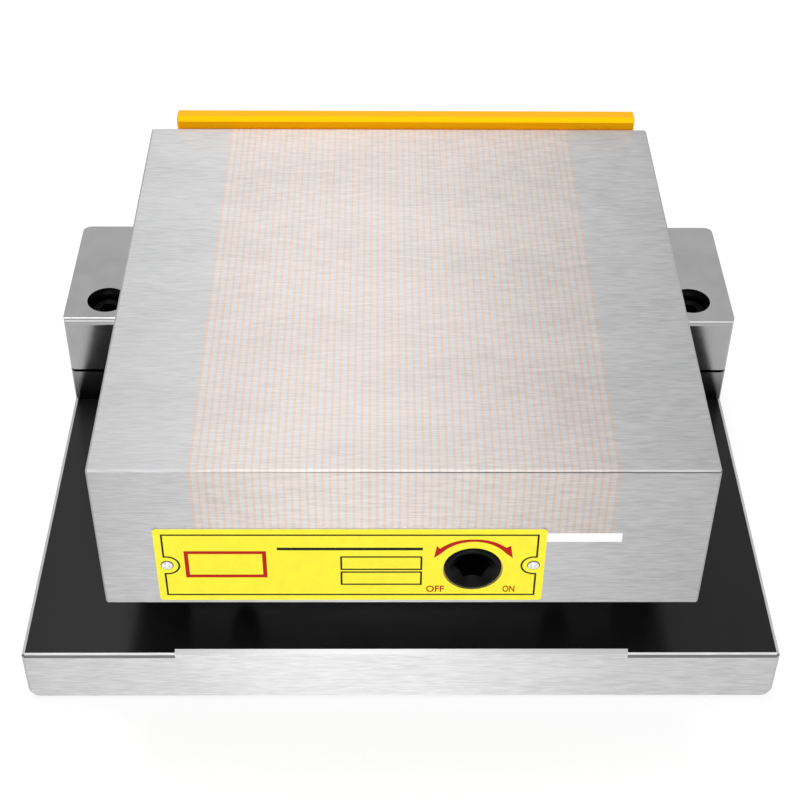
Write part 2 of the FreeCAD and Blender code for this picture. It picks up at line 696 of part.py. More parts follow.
def guide_strips():
    """Two brass strips on the cover that the carriage slides on."""
    half = CAVITY_HALF - GUIDE_END_GAP
    middle = (YOKE_BACK + TRAY_BACK) / 2
    strips = []
    for side in (-1, 1):
        y = middle + side * GUIDE_SPACING / 2
        y_range = (y - GUIDE_WIDTH / 2, y + GUIDE_WIDTH / 2)
        strips.append(box((-half, half), y_range, (COVER_TOP, COVER_TOP + GUIDE_THICKNESS)))
    return strips


def carriage_tray():
    """Brass tray that holds the magnets, open towards the yoke and the pole pack."""
    x_range = (CARRIAGE_X - CARRIAGE_HALF, CARRIAGE_X + CARRIAGE_HALF)
    tray = box(x_range, (YOKE_BACK, TRAY_BACK), (CARRIAGE_LOW, CARRIAGE_LOW + TRAY_HEIGHT))
    inside = box((CARRIAGE_X - SLABS_HALF, CARRIAGE_X + SLABS_HALF), (YOKE_BACK, TRAY_BACK - TRAY_WALL),
                 (CARRIAGE_LOW + TRAY_FLOOR, CARRIAGE_LOW + TRAY_HEIGHT))
    return tray.cut(inside)


def slab(index):
    """One upright slab of the magnet pack, counted from the left."""
    left = CARRIAGE_X - SLABS_HALF + index * SLAB_THICKNESS
    return box((left, left + SLAB_THICKNESS), (YOKE_BACK, TRAY_BACK - TRAY_WALL),
               (CARRIAGE_LOW + TRAY_FLOOR, CARRIAGE_TOP))


def magnets():
    """Magnets: every second slab."""
    return [slab(i) for i in range(1, SLAB_COUNT, 2)]


def carriage_poles():
    """Steel poles between the magnets and at both ends."""
    return [slab(i) for i in range(0, SLAB_COUNT, 2)]


def carriage_yoke():
    """Front plate brazed to the tray, with a slot open beneath that the crank ring moves in."""
    x_range = (CARRIAGE_X - CARRIAGE_HALF, CARRIAGE_X + CARRIAGE_HALF)
    plate = box(x_range, (YOKE_FRONT, YOKE_BACK), (CARRIAGE_LOW, CARRIAGE_TOP))
    centre = DRIVE_X - CRANK_THROW
    half = CRANK_RING_RADIUS + CRANK_LAG + YOKE_SIDE_SPARE
    slot_top = DRIVE_Z + CRANK_THROW + CRANK_RING_RADIUS + CRANK_END_GAP
    slot = box((centre - half, centre + half), (YOKE_FRONT, YOKE_BACK),
               (CARRIAGE_LOW - CUT_MARGIN, slot_top))
    return plate.cut(slot)


def rivet_seat(side):
    """Centre of a rivet on the chuck's front face."""
    return Vector(PLATE_CENTRE_X + side * (PLATE_LENGTH / 2 - RIVET_INSET), CHUCK_FRONT, PLATE_CENTRE_Z)


def name_plate():
    """Thin printed plate, with a hole round the drive shaft."""
    half = PLATE_LENGTH / 2
    plate = box((PLATE_CENTRE_X - half, PLATE_CENTRE_X + half), (PLATE_FRONT, CHUCK_FRONT),
                (PLATE_TOP - PLATE_HEIGHT, PLATE_TOP))
    plate = plate.makeFillet(PLATE_CORNER, edges_where(plate, lambda edge: along(edge, Y)))
    centre = Vector(DRIVE_X, PLATE_FRONT, DRIVE_Z)
    holes = [rod(SHAFT_RADIUS + PLATE_HOLE_GAP, centre, centre + Y * PLATE_THICKNESS)]
    for side in (-1, 1):
        seat = rivet_seat(side)
        holes.append(rod(RIVET_RADIUS + THREAD_CLEARANCE, seat - Y * PLATE_THICKNESS, seat))
    return plate.cut(holes)


def rivet(seat):
    """Dome-headed drive rivet through the plate."""
    centre = seat - Y * PLATE_THICKNESS
    ball = (RIVET_HEAD_RADIUS ** 2 + RIVET_HEAD_HEIGHT ** 2) / (2 * RIVET_HEAD_HEIGHT)
    dome = Part.makeSphere(ball, centre + Y * (ball - RIVET_HEAD_HEIGHT))
    dome = dome.common(rod(RIVET_HEAD_RADIUS, centre - Y * RIVET_HEAD_HEIGHT, centre))
    return join([dome, rod(RIVET_RADIUS, centre, seat + Y * (RIVET_LENGTH - RIVET_RADIUS))])


def plate_rivets():
    """The two rivets of the name plate."""
    return [rivet(rivet_seat(side)) for side in (-1, 1)]


def stop_slot(side):
    """Upright slot round a stop screw, long enough for the plate's travel."""
    radius = STOP_SCREW / 2 + HOLE_CLEARANCE
    x = side * STOP_SCREW_X
    top = STOP_SCREW_Z + STOP_TRAVEL
    low = STOP_SCREW_Z - STOP_TRAVEL
    middle = box((x - radius, x + radius), (CHUCK_BACK, STOP_BACK), (low, top))
    ends = [rod(radius, Vector(x, CHUCK_BACK, z), Vector(x, STOP_BACK, z)) for z in (low, top)]
    return join([middle] + ends)


def rear_stop_plate():
    """Plate that stands above the rear edge of the work face, with a wide bevel towards it."""
    x_range = (STOP_SHIFT - STOP_HALF, STOP_SHIFT + STOP_HALF)
    plate = box(x_range, (CHUCK_BACK, STOP_BACK), (STOP_LOW, STOP_TOP))

    def front_top(edge):
        return near(edge.BoundBox.ZMin, STOP_TOP) and near(edge.BoundBox.YMax, CHUCK_BACK)

    def at_end_or_back(edge):
        return near(edge.BoundBox.XLength, 0) or (near(edge.BoundBox.ZMin, STOP_TOP)
                                                  and near(edge.BoundBox.YMin, STOP_BACK))

    plate = plate.makeChamfer(STOP_EDGE, edges_where(plate, front_top))
    plate = plate.makeChamfer(STOP_END_EDGE, edges_where(plate, at_end_or_back))
    return plate.cut([stop_slot(side) for side in (-1, 1)])


def washer_seat(side):
    """Centre of a stop washer's inner face."""
    return Vector(side * STOP_SCREW_X, STOP_BACK, STOP_SCREW_Z)


def stop_washers():
    """Washers under the heads of the stop screws."""
    inner = STOP_SCREW / 2 + HOLE_CLEARANCE
    return [tube(inner, WASHER_RADIUS, washer_seat(side), washer_seat(side) + Y * WASHER_THICKNESS)
            for side in (-1, 1)]


def stop_screws():
    """Screws that clamp the rear stop plate to the rails."""
    return [crowned_screw(STOP_SCREW, washer_seat(side) + Y * WASHER_THICKNESS, -Y, STOP_SCREW_LENGTH)
            for side in (-1, 1)]


def write(name, shape):
    """One file for each node; a list of solids becomes a group."""
    if isinstance(shape, list):
        shape = Part.makeCompound(shape)
    shape.exportStep("parts/" + name + ".step")


def main():
    os.makedirs("parts", exist_ok=True)
    write("base_plate", base_plate())
    write("right_clamp_block", clamp_block())
    write("left_clamp_block", mirrored(clamp_block()))
    write("right_lock_screw", lock_screw())
    write("left_lock_screw", mirrored(lock_screw()))
    nodes = (block_screws, hinge_roller, front_roller, roller_screws, sine_body, sine_body_screws,
             chuck_frame, steel_laminations, copper_spacers, resin_strips, bottom_cover, cover_screws,
             drive_bush, drive_seal, drive_stop_screw, drive_shaft, crank_ring, guide_strips,
             carriage_tray, carriage_yoke, magnets, carriage_poles,
             name_plate, plate_rivets, rear_stop_plate, stop_screws, stop_washers)
    for node in nodes:
        write(node.__name__, node())


main()
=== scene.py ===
"""Magnetic chuck on a sine base: its finishes, the print on its name plate and a plain studio.

Metres, +Z up, the front faces -Y and +X is to the right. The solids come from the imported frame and
keep their shapes. Each operator dresses one piece or one group of like pieces.
"""

import math

import bmesh
import bpy
from bpy.props import FloatProperty, FloatVectorProperty, PointerProperty
from bpy.types import Operator, Panel, PropertyGroup
from mathutils import Matrix, Vector


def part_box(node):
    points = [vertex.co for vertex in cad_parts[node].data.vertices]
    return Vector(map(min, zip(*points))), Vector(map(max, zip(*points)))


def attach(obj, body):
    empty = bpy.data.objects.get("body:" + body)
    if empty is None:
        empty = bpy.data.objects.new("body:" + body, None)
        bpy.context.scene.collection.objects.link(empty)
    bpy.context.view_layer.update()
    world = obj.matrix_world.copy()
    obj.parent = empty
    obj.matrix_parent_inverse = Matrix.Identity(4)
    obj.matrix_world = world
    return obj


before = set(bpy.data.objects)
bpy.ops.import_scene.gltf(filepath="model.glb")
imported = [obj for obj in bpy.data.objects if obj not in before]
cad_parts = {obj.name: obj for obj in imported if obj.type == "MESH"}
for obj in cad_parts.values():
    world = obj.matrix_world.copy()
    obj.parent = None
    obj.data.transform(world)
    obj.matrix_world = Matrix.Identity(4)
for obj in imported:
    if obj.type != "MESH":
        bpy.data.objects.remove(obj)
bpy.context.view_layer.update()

bl_info = {
    "name": "Magnetic chuck",
    "version": (1, 0, 0),
    "blender": (4, 5, 0),
    "location": "3D View > Sidebar > Magnetic chuck",
    "description": "Dresses a fine-pole magnetic chuck on a sine base and sets up its studio",
    "category": "Object",
}

MM = 0.001
FINISH = "_finish"

# A face counts as level, or as turned to the side, past this cosine of its slope
LEVEL = 0.9
SIDEWAYS = 0.7

# Roughness of surface-ground steel, of its broken edges, which are honed by hand, and of the lacquer
GROUND_ROUGHNESS = (0.48, 0.56)
HONED = 0.3
LACQUER_ROUGHNESS = (0.28, 0.35)

# The lacquer covers the step between the wings and the pad, down to this far below the pad
PAD_STEP = 1.6 * MM

# The wings lie this far below the pad. A painted shade darkens the lower part of their broken edge from
# this far down, to this share of the steel's colour
WING_DROP = 1.5 * MM
EDGE_SHADE_DEPTH = 0.45 * MM
EDGE_SHADE_SHARE = 0.25

# The pad's broken edge is painted darker than that of the wings, by this factor: a painted shade that dims
# its highlight
PAD_EDGE_SHADE = 0.7

# A painted shade line lies between these depths under the chuck's upper front edge, and darkens the steel
# to this share. It fades out at this share of the way from the middle to the left side.
EDGE_LINE_TOP, EDGE_LINE_LOW = 0.38 * MM, 0.72 * MM
EDGE_LINE_SHADE = 0.3
EDGE_LINE_END = 0.8

# Painted shade covers the front of the clamp blocks below the slit, by these shares at their foot and at
# the slit, and is this dark
SHADE_FOOT, SHADE_SLIT = 1.0, 0.35
BLOCK_SHADE_SHARE = 0.1

# Painted shade lies round the foot of the rivet heads up to this height
RIVET_SHADE_HEIGHT = 0.26 * MM

# Directions, above the level line through the socket, of each arrow head's tip, heel, neck and barb
ARROW_ANGLES = (22.5, 36.0, 41.5, 42.3)
ARC_STEPS = 24

# Printed lines run out no further than this at a corner: the least cosine that their width is divided by
MITRE_LIMIT = 0.4

# Height of a capital over the font's size, and how much bolder the letters are drawn over their height
CAPITAL_SHARE = 0.7
BOLDNESS = 1 / 40

# Rows of marks are this many noise cells apart, which is too far for one row to look like the next
ROW_STEP = 7.3

# Parts of a noise's range that are stretched over the whole of it, for soft marks and for crisper clouds
SOFT = (0.3, 0.7)
CRISP = (0.35, 0.65)

# Darkest and lightest shade of surface-ground metal, the part that wide clouds have in its shade, and how
# far its marks draw out the light across them
GROUND_SHADES = (0.86, 1.12)
CLOUD_SHARE = 0.2
ANISOTROPY = 0.9
QUARTER_TURN = 0.25

PLATE_LOW, PLATE_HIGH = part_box("name_plate")
RIVETS_LOW, RIVETS_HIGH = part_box("plate_rivets")
SHAFT_LOW, SHAFT_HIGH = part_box("drive_shaft")
BASE_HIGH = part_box("base_plate")[1]
FRAME_LOW, FRAME_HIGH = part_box("chuck_frame")
COPPER_LOW, COPPER_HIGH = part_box("copper_spacers")
HINGE_LOW, HINGE_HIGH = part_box("hinge_roller")

# The pole pack: how many copper strips there are, and how thick each is
COPPER_COUNT = 56
COPPER_THICKNESS = 0.5 * MM

# The grinding wheel smears copper this far over the steel on each side of a strip, and this strongly
SMEAR_REACH = 0.24 * MM
SMEAR_TOP, SMEAR_END = 0.5, 0.85

# Lamps with the settings of their power, their places and their sizes. All look at one point.
LAMPS = (
    ("key_light", "key_power", (0.0, -0.75, 0.95), (0.9, 0.5)),
    ("front_light", "front_power", (-0.03, -1.1, 0.22), (0.18, 0.3)),
    ("top_light", "top_power", (-0.01, 0.27, 1.24), (0.22, 0.5)),
    ("top_left_light", "top_left_power", (-0.24, 0.42, 1.18), (0.25, 0.4)),
)
LAMP_TARGET = (0.0, 0.0, 0.05)

# The floor's shade for the light that it sends on, and its shade and glow as the camera and metal see it
FLOOR_SHADE, FLOOR_SHOWN_SHADE, FLOOR_GLOW = 0.85, 0.5, 0.62
FLOOR_SIZE = 4.0


def linear(hex_colour):
    """Linear red, green and blue of an sRGB hex value."""
    channels = [int(hex_colour[i:i + 2], 16) / 255 for i in (1, 3, 5)]
    return tuple(c / 12.92 if c <= 0.04045 else ((c + 0.055) / 1.055) ** 2.4 for c in channels)


def colour_property(name, description, hex_colour):
    """Colour that a user can change, with its default as an sRGB hex value."""
    return FloatVectorProperty(name=name, description=description, subtype="COLOR", min=0.0, max=1.0,
                               default=linear(hex_colour))


def length_property(name, description, millimetres):
    """Length that a user can change, with its default in millimetres."""
    return FloatProperty(name=name, description=description, unit="LENGTH", min=0.0, precision=5,
                         default=millimetres * MM)


def power_property(name, description, watts):
    """Power of a lamp that a user can change."""
    return FloatProperty(name=name, description=description, unit="POWER", min=0.0, default=watts)


class ChuckMetalSettings(PropertyGroup):
    """Colours and grinding marks of the bare metals."""

    ground_steel: colour_property("Ground steel", "Surface-ground steel of the chuck's frame", "#aeaeaf")
    base_steel: colour_property("Base steel", "Surface-ground steel of the base plate", "#c2c2c3")
    pole_steel: colour_property("Pole steel", "Ground soft-iron strips of the pole pack", "#b4b4b5")
    copper: colour_property("Copper", "Ground copper strips between the poles", "#bea99c")
    satin_steel: colour_property("Satin steel", "Fine-milled steel of the clamp blocks", "#a1a1a1")
    black_oxide: colour_property("Black oxide", "Blackened steel of screws and drive shaft", "#060606")
    gold_brass: colour_property("Gold brass", "Polished brass of the rear stop plate", "#ffb40b")
    brass: colour_property("Brass", "Milled brass of the bush, the guides and the magnet tray", "#c9a867")
    aluminium: colour_property("Aluminium", "Bright aluminium of the rivets", "#e9e9ea")
    line_width: length_property("Grinding line width", "Width of one grinding mark", 0.32)
    line_length: length_property("Grinding line length", "Length of one grinding mark", 6.0)
    line_depth: length_property("Grinding line depth", "Depth of one grinding mark", 0.004)


class ChuckPaintSettings(PropertyGroup):
    """Colours of the paints, the plastics and the printed plate."""

    base_black: colour_property("Base black", "Satin black lacquer on top of the base", "#070707")
    plate_yellow: colour_property("Plate yellow", "Ground colour of the name plate", "#fdf13c")
    print_black: colour_property("Print black", "Border, boxes and rule of the name plate", "#0b0a04")
    print_red: colour_property("Print red", "Arrow, frame, ON and OFF of the name plate", "#b8140a")
    resin: colour_property("Resin", "Cast resin under the pole pack", "#fefefc")
    rubber: colour_property("Rubber", "Seal of the drive shaft", "#1a1a1a")
    ferrite: colour_property("Ferrite", "Sintered magnets of the carriage", "#2f2f31")


class ChuckPrintSettings(PropertyGroup):
    """Sizes of the print on the name plate."""

    ink: length_property("Ink thickness", "How far the print stands off the plate", 0.03)
    stroke: length_property("Line width", "Width of the border and box lines", 0.46)
    inset: length_property("Border inset", "From the plate's edge to its border", 2.05)
    notch: length_property("Notch radius", "Radius of the border round a rivet", 3.0)
    arrow_radius: length_property("Arrow radius", "From the socket's centre to the arrow's inside", 9.75)
    arrow_stroke: length_property("Arrow line width", "Width of the arrow's line at its top", 0.75)
    arrow_neck: length_property("Arrow neck width", "Width of the arrow's line at its heads", 1.3)
    arrow_barb: length_property("Arrow barb", "From the arrow's inside out to the barbs", 2.55)
    arrow_tip: length_property("Arrow tip", "From the arrow's inside out to the tips", 0.75)
    letter_height: length_property("Letter height", "Height of the capitals of ON and OFF", 2.2)
    letter_width: length_property("Letter width", "Room across for each capital", 1.5)
    letter_drop: length_property("Letter drop", "From the socket's centre down to ON and OFF", 7.35)
    letter_reach: length_property("Letter reach", "From the socket's centre across to ON and OFF", 9.25)
    rule_length: length_property("Rule length", "Length of the black rule over the boxes", 35.8)
    rule_stroke: length_property("Rule width", "Width of the black rule", 0.9)
    rule_left: length_property("Rule place", "From the plate's left edge to the rule", 30.0)
    rule_drop: length_property("Rule drop", "From the plate's upper edge to the rule", 6.9)
    frame_length: length_property("Frame length", "Length of the red frame", 19.2)
    frame_height: length_property("Frame height", "Height of the red frame", 8.4)
    frame_stroke: length_property("Frame line width", "Width of the red frame's line", 1.0)
    frame_left: length_property("Frame place", "From the plate's left edge to the red frame", 7.6)
    frame_drop: length_property("Frame drop", "From the plate's upper edge to the red frame", 8.2)
    box_length: length_property("Box length", "Length of each blank box", 19.8)
    box_height: length_property("Box height", "Height of each blank box", 4.45)
    box_gap: length_property("Box gap", "Between the two blank boxes", 1.0)
    box_left: length_property("Box place", "From the plate's left edge to the blank boxes", 45.7)
    box_drop: length_property("Box drop", "From the plate's upper edge to the blank boxes", 9.75)


class ChuckStudioSettings(PropertyGroup):
    """Background, light and camera."""

    background: colour_property("Background", "Colour of the backdrop and the floor", "#ffffff")
    ambient: FloatProperty(name="Ambient light", description="Strength of the even light from all round",
                           default=0.58, min=0.0)
    key_power: power_property("Key light", "Power of the soft light above the camera", 1.74)
    front_power: power_property("Front light", "Power of the low strip light in front", 2.9)
    top_power: power_property("Top light", "Power of the strip light above the chuck", 2.4)
    top_left_power: power_property("Top left light", "Power of the soft light above on the left", 1.24)
    camera_place: FloatVectorProperty(name="Camera place", description="Where the camera stands",
                                      subtype="TRANSLATION", default=(-0.00558, -0.35354, 0.35181))
    camera_pitch: FloatProperty(name="Camera pitch", description="How far the camera looks down",
                                subtype="ANGLE", default=math.radians(41.319))
    camera_yaw: FloatProperty(name="Camera yaw", description="How far the camera looks to the left",
                              subtype="ANGLE", default=math.radians(-0.897))
    camera_roll: FloatProperty(name="Camera roll", description="How far the camera leans over",
                               subtype="ANGLE", default=math.radians(-0.656))
    focal_length: FloatProperty(name="Focal length", description="Lens on a 36 mm sensor, in millimetres",
                                default=73.63, min=1.0)


def add_node(tree, kind, inputs=(), **settings):
    """Adds one shader node, sets its properties and gives its sockets values or links."""
    node = tree.nodes.new("ShaderNode" + kind)
    for name, value in settings.items():
        setattr(node, name, value)
    for socket, value in dict(inputs).items():
        if isinstance(value, bpy.types.NodeSocket):
            tree.links.new(value, node.inputs[socket])
        else:
            node.inputs[socket].default_value = value
    return node


def new_material(name):
    """An empty material and its node tree, whose name differs from the plain materials of the frame."""
    material = bpy.data.materials.new(name + FINISH)
    material.use_nodes = True
    material.node_tree.nodes.clear()
    return material, material.node_tree


def surface(tree, inputs):
    """Closes a material with its shader."""
    shader = add_node(tree, "BsdfPrincipled", inputs)
    add_node(tree, "OutputMaterial", {"Surface": shader.outputs["BSDF"]})


def spread(tree, value, low, high, to_low=0.0, to_high=1.0):
    """A value stretched from one range to another and kept inside it."""
    inputs = {"Value": value, "From Min": low, "From Max": high, "To Min": to_low, "To Max": to_high}
    return add_node(tree, "MapRange", inputs).outputs["Result"]


def calculate(tree, operation, first, second=0.0):
    """One step of arithmetic."""
    return add_node(tree, "Math", {0: first, 1: second}, operation=operation).outputs[0]


def shade(colour, factor):
    """A colour made lighter or darker by a factor, with its alpha."""
    return tuple(min(1.0, c * factor) for c in colour) + (1.0,)


def mix_colours(tree, factor, first, second):
    """A colour between two others."""
    inputs = {"Factor": factor, "A": first, "B": second}
    return add_node(tree, "Mix", inputs, data_type="RGBA").outputs[2]


def two_shades(tree, factor, colour, dark, light):
    """A colour that runs from a darker to a lighter shade of itself."""
    return mix_colours(tree, factor, shade(colour, dark), shade(colour, light))


def grain(tree, sizes, contrast, detail=2.0):
    """Noise whose features have the given sizes in metres along X, Y and Z, from 0 to 1."""
    place = add_node(tree, "TexCoord").outputs["Object"]
    scaled = add_node(tree, "Mapping", {"Vector": place, "Scale": tuple(1 / size for size in sizes)})
    inputs = {"Vector": scaled.outputs["Vector"], "Scale": 1.0, "Detail": detail}
    return spread(tree, add_node(tree, "TexNoise", inputs).outputs["Fac"], *contrast)


def even_grain(tree, millimetres, contrast, detail=2.0):
    """Noise whose features are equally long in all directions, from 0 to 1."""
    return grain(tree, (millimetres * MM,) * 3, contrast, detail)


def object_place(tree, axis):
    """Where a point lies along an axis of its own piece."""
    place = add_node(tree, "TexCoord").outputs["Object"]
    return add_node(tree, "SeparateXYZ", {"Vector": place}).outputs[axis]


def facing(tree, axis):
    """How far a face looks along an axis of its own piece."""
    normal = add_node(tree, "TexCoord").outputs["Normal"]
    return add_node(tree, "SeparateXYZ", {"Vector": normal}).outputs[axis]


def faces_along(tree, axis, least):
    """1 on the faces that look either way along an axis, past a cosine, and 0 elsewhere."""
    return calculate(tree, "GREATER_THAN", calculate(tree, "ABSOLUTE", facing(tree, axis)), least)


def broken_edges(tree):
    """1 on the bevels between upper faces and the front or the rear, and 0 elsewhere."""
    upward = calculate(tree, "GREATER_THAN", facing(tree, "Z"), 1 - LEVEL)
    return calculate(tree, "MULTIPLY", upward, faces_along(tree, "Y", 1 - LEVEL))


def ground_roughness(tree, marks):
    """Roughness of surface-ground steel, which is less on its broken edges."""
    rough = spread(tree, marks, 0, 1, *GROUND_ROUGHNESS)
    return add_node(tree, "Mix", {"Factor": broken_edges(tree), "A": rough, "B": HONED}).outputs[0]


def streaks(tree, axis, metal):
    """Straight marks along an axis, in rows that have nothing in common with their neighbours."""
    across = calculate(tree, "ADD", *[object_place(tree, name) for name in "XYZ" if name != axis])
    row = calculate(tree, "FLOOR", calculate(tree, "DIVIDE", across, metal.line_width))
    along = calculate(tree, "DIVIDE", object_place(tree, axis), metal.line_length)
    spot = add_node(tree, "CombineXYZ", {"X": along, "Y": calculate(tree, "MULTIPLY", row, ROW_STEP)})
    noise = add_node(tree, "TexNoise", {"Vector": spot.outputs["Vector"], "Scale": 1.0, "Detail": 1.0},
                     noise_dimensions="2D")
    return noise.outputs["Fac"]


def grinding_marks(tree, metal):
    """Marks along X, and along Y on the faces that look sideways, from 0 to 1."""
    sideways = faces_along(tree, "X", SIDEWAYS)
    along = {"Factor": sideways, "A": streaks(tree, "X", metal), "B": streaks(tree, "Y", metal)}
    return spread(tree, add_node(tree, "Mix", along).outputs[0], *SOFT)


def across_marks(tree):
    """Direction of the marks in the world. The shader turns it, so that highlights stretch across them."""
    sideways = faces_along(tree, "X", SIDEWAYS)
    ahead = calculate(tree, "SUBTRACT", 1.0, sideways)
    along = add_node(tree, "CombineXYZ", {"X": ahead, "Y": sideways}).outputs["Vector"]
    turned = add_node(tree, "VectorTransform", {"Vector": along}, vector_type="VECTOR",
                      convert_from="OBJECT", convert_to="WORLD")
    return turned.outputs["Vector"]


def marks_bump(tree, marks, depth, strength=0.35):
    """Surface direction over marks of a given depth."""
    bump = add_node(tree, "Bump", {"Height": marks, "Strength": strength, "Distance": depth})
    return bump.outputs["Normal"]


def ground_tone(tree, marks):
    """Marks with faint wide clouds over them, from 0 to 1."""
    clouds = grain(tree, (45 * MM, 18 * MM, 18 * MM), CRISP)
    return calculate(tree, "ADD", calculate(tree, "MULTIPLY", marks, 1 - CLOUD_SHARE),
                     calculate(tree, "MULTIPLY", clouds, CLOUD_SHARE))


def copper_smear(tree):
    """How much copper lies on the steel: most beside each strip, and more on the ends than on top."""
    half = COPPER_THICKNESS / 2
    pitch = (COPPER_HIGH.x - COPPER_LOW.x - COPPER_THICKNESS) / (COPPER_COUNT - 1)
    from_first = calculate(tree, "SUBTRACT", object_place(tree, "X"), COPPER_LOW.x + half)
    strips = calculate(tree, "DIVIDE", from_first, pitch)
    off = calculate(tree, "SUBTRACT", strips, calculate(tree, "ROUND", strips))
    away = calculate(tree, "MULTIPLY", calculate(tree, "ABSOLUTE", off), pitch)
    near = spread(tree, away, half, half + SMEAR_REACH, 1.0, 0.0)
    share = spread(tree, faces_along(tree, "Y", SIDEWAYS), 0, 1, SMEAR_TOP, SMEAR_END)
    return calculate(tree, "MULTIPLY", near, share)


def edge_oil(tree):
    """Up to 1 in a thin painted shade line under the chuck's upper front edge, which fades out to the left.
    """
    drop = calculate(tree, "SUBTRACT", FRAME_HIGH.z, object_place(tree, "Z"))
    line = calculate(tree, "MULTIPLY", calculate(tree, "GREATER_THAN", drop, EDGE_LINE_TOP),
                     calculate(tree, "LESS_THAN", drop, EDGE_LINE_LOW))
    fronts = calculate(tree, "LESS_THAN", facing(tree, "Y"), LEVEL - 1)
    fade = spread(tree, object_place(tree, "X"), FRAME_LOW.x * EDGE_LINE_END, 0.0)
    return calculate(tree, "MULTIPLY", calculate(tree, "MULTIPLY", line, fronts), fade)


def ground_metal(name, colour, metal, smeared=None):
    """Surface-ground metal: silky, with straight marks that draw the light out across them.

    Real marks are about 0.05 mm wide, and are drawn coarser so that they show.
    """
    material, tree = new_material(name)
    marks = grinding_marks(tree, metal)
    tone = ground_tone(tree, marks)
    bare = two_shades(tree, tone, colour, *GROUND_SHADES)
    if smeared:
        other = two_shades(tree, tone, smeared, *GROUND_SHADES)
        bare = mix_colours(tree, copper_smear(tree), bare, other)
    surface(tree, {
        # Painted shade: a dark line under the chuck's upper front edge
        "Base Color": mix_colours(tree, edge_oil(tree), bare, shade(colour, EDGE_LINE_SHADE)),
        "Metallic": 1.0,
        "Roughness": ground_roughness(tree, marks),
        "Anisotropic": ANISOTROPY,
        "Anisotropic Rotation": QUARTER_TURN,
        "Tangent": across_marks(tree),
        "Normal": marks_bump(tree, marks, metal.line_depth),
    })
    return material


def turned_steel(metal):
    """Cylindrical-ground steel of the rollers: marks run round the axis, and the gloss is higher."""
    material, tree = new_material("turned_steel")
    marks = grain(tree, (metal.line_width, metal.line_length, metal.line_length), SOFT)
    surface(tree, {
        "Base Color": two_shades(tree, marks, metal.ground_steel, 0.94, 1.04),
        "Metallic": 1.0,
        "Roughness": spread(tree, marks, 0, 1, 0.24, 0.28),
        "Normal": marks_bump(tree, marks, metal.line_depth, 0.08),
    })
    return material


def oil_stain(tree):
    """How much painted shade there is: most at the foot of the clamp blocks' fronts, and none above their
    slits.
    """
    slit = (HINGE_LOW.z + HINGE_HIGH.z) / 2
    height = object_place(tree, "Z")
    fronts = calculate(tree, "LESS_THAN", facing(tree, "Y"), -SIDEWAYS)
    below = calculate(tree, "MULTIPLY", fronts, calculate(tree, "LESS_THAN", height, slit))
    share = spread(tree, height, BASE_HIGH.z, slit, SHADE_FOOT, SHADE_SLIT)
    return calculate(tree, "MULTIPLY", below, share)


def satin_steel(metal):
    """Fine-milled and stoned steel: an even satin with faint clouds and no clear lines."""
    material, tree = new_material("satin_steel")
    clouds = even_grain(tree, 9.0, CRISP, 4.0)
    pores = even_grain(tree, 0.35, SOFT)
    bare = two_shades(tree, clouds, metal.satin_steel, 0.95, 1.04)
    surface(tree, {
        # Painted shade darkens the clamp blocks' fronts below the slit
        "Base Color": mix_colours(tree, oil_stain(tree), bare, shade(metal.satin_steel, BLOCK_SHADE_SHARE)),
        "Metallic": 1.0,
        "Roughness": spread(tree, clouds, 0, 1, 0.12, 0.16),
        "Normal": marks_bump(tree, pores, metal.line_depth, 0.12),
    })
    return material


def black_oxide(metal):
    """Blackened steel: near black, with a waxy gloss and slightly lighter where the oil is thin."""
    material, tree = new_material("black_oxide")
    clouds = even_grain(tree, 2.5, CRISP, 3.0)
    surface(tree, {
        "Base Color": two_shades(tree, clouds, metal.black_oxide, 0.7, 1.35),
        "Roughness": spread(tree, clouds, 0, 1, 0.25, 0.38),
        "Specular IOR Level": 0.08,
    })
    return material


def milled_brass(metal):
    """Free-cutting brass as it leaves the mill: warm, with fine cutter marks."""
    material, tree = new_material("milled_brass")
    marks = grinding_marks(tree, metal)
    surface(tree, {
        "Base Color": two_shades(tree, marks, metal.brass, 0.9, 1.06),
        "Metallic": 1.0,
        "Roughness": spread(tree, marks, 0, 1, 0.28, 0.4),
        "Normal": marks_bump(tree, marks, metal.line_depth),
    })
    return material


def bright_aluminium(metal):
    """Headed aluminium of the rivets: bright and dented by the setting tool, with painted shade round their
    foot.
    """
    material, tree = new_material("bright_aluminium")
    dents = even_grain(tree, 0.7, CRISP)
    rivet_shade_top = PLATE_LOW.y - RIVET_SHADE_HEIGHT
    foot = spread(tree, object_place(tree, "Y"), rivet_shade_top, rivet_shade_top + RIVET_SHADE_HEIGHT / 2)
    bare = two_shades(tree, dents, metal.aluminium, 0.75, 1.05)
    surface(tree, {
        # Painted shade: the foot of each rivet head turns dark and not metallic
        "Base Color": mix_colours(tree, foot, bare, shade(metal.black_oxide, 1.0)),
        "Metallic": calculate(tree, "SUBTRACT", 1.0, foot),
        "Roughness": spread(tree, dents, 0, 1, 0.16, 0.26),
        "Normal": marks_bump(tree, dents, 0.02 * MM, 0.3),
    })
    return material


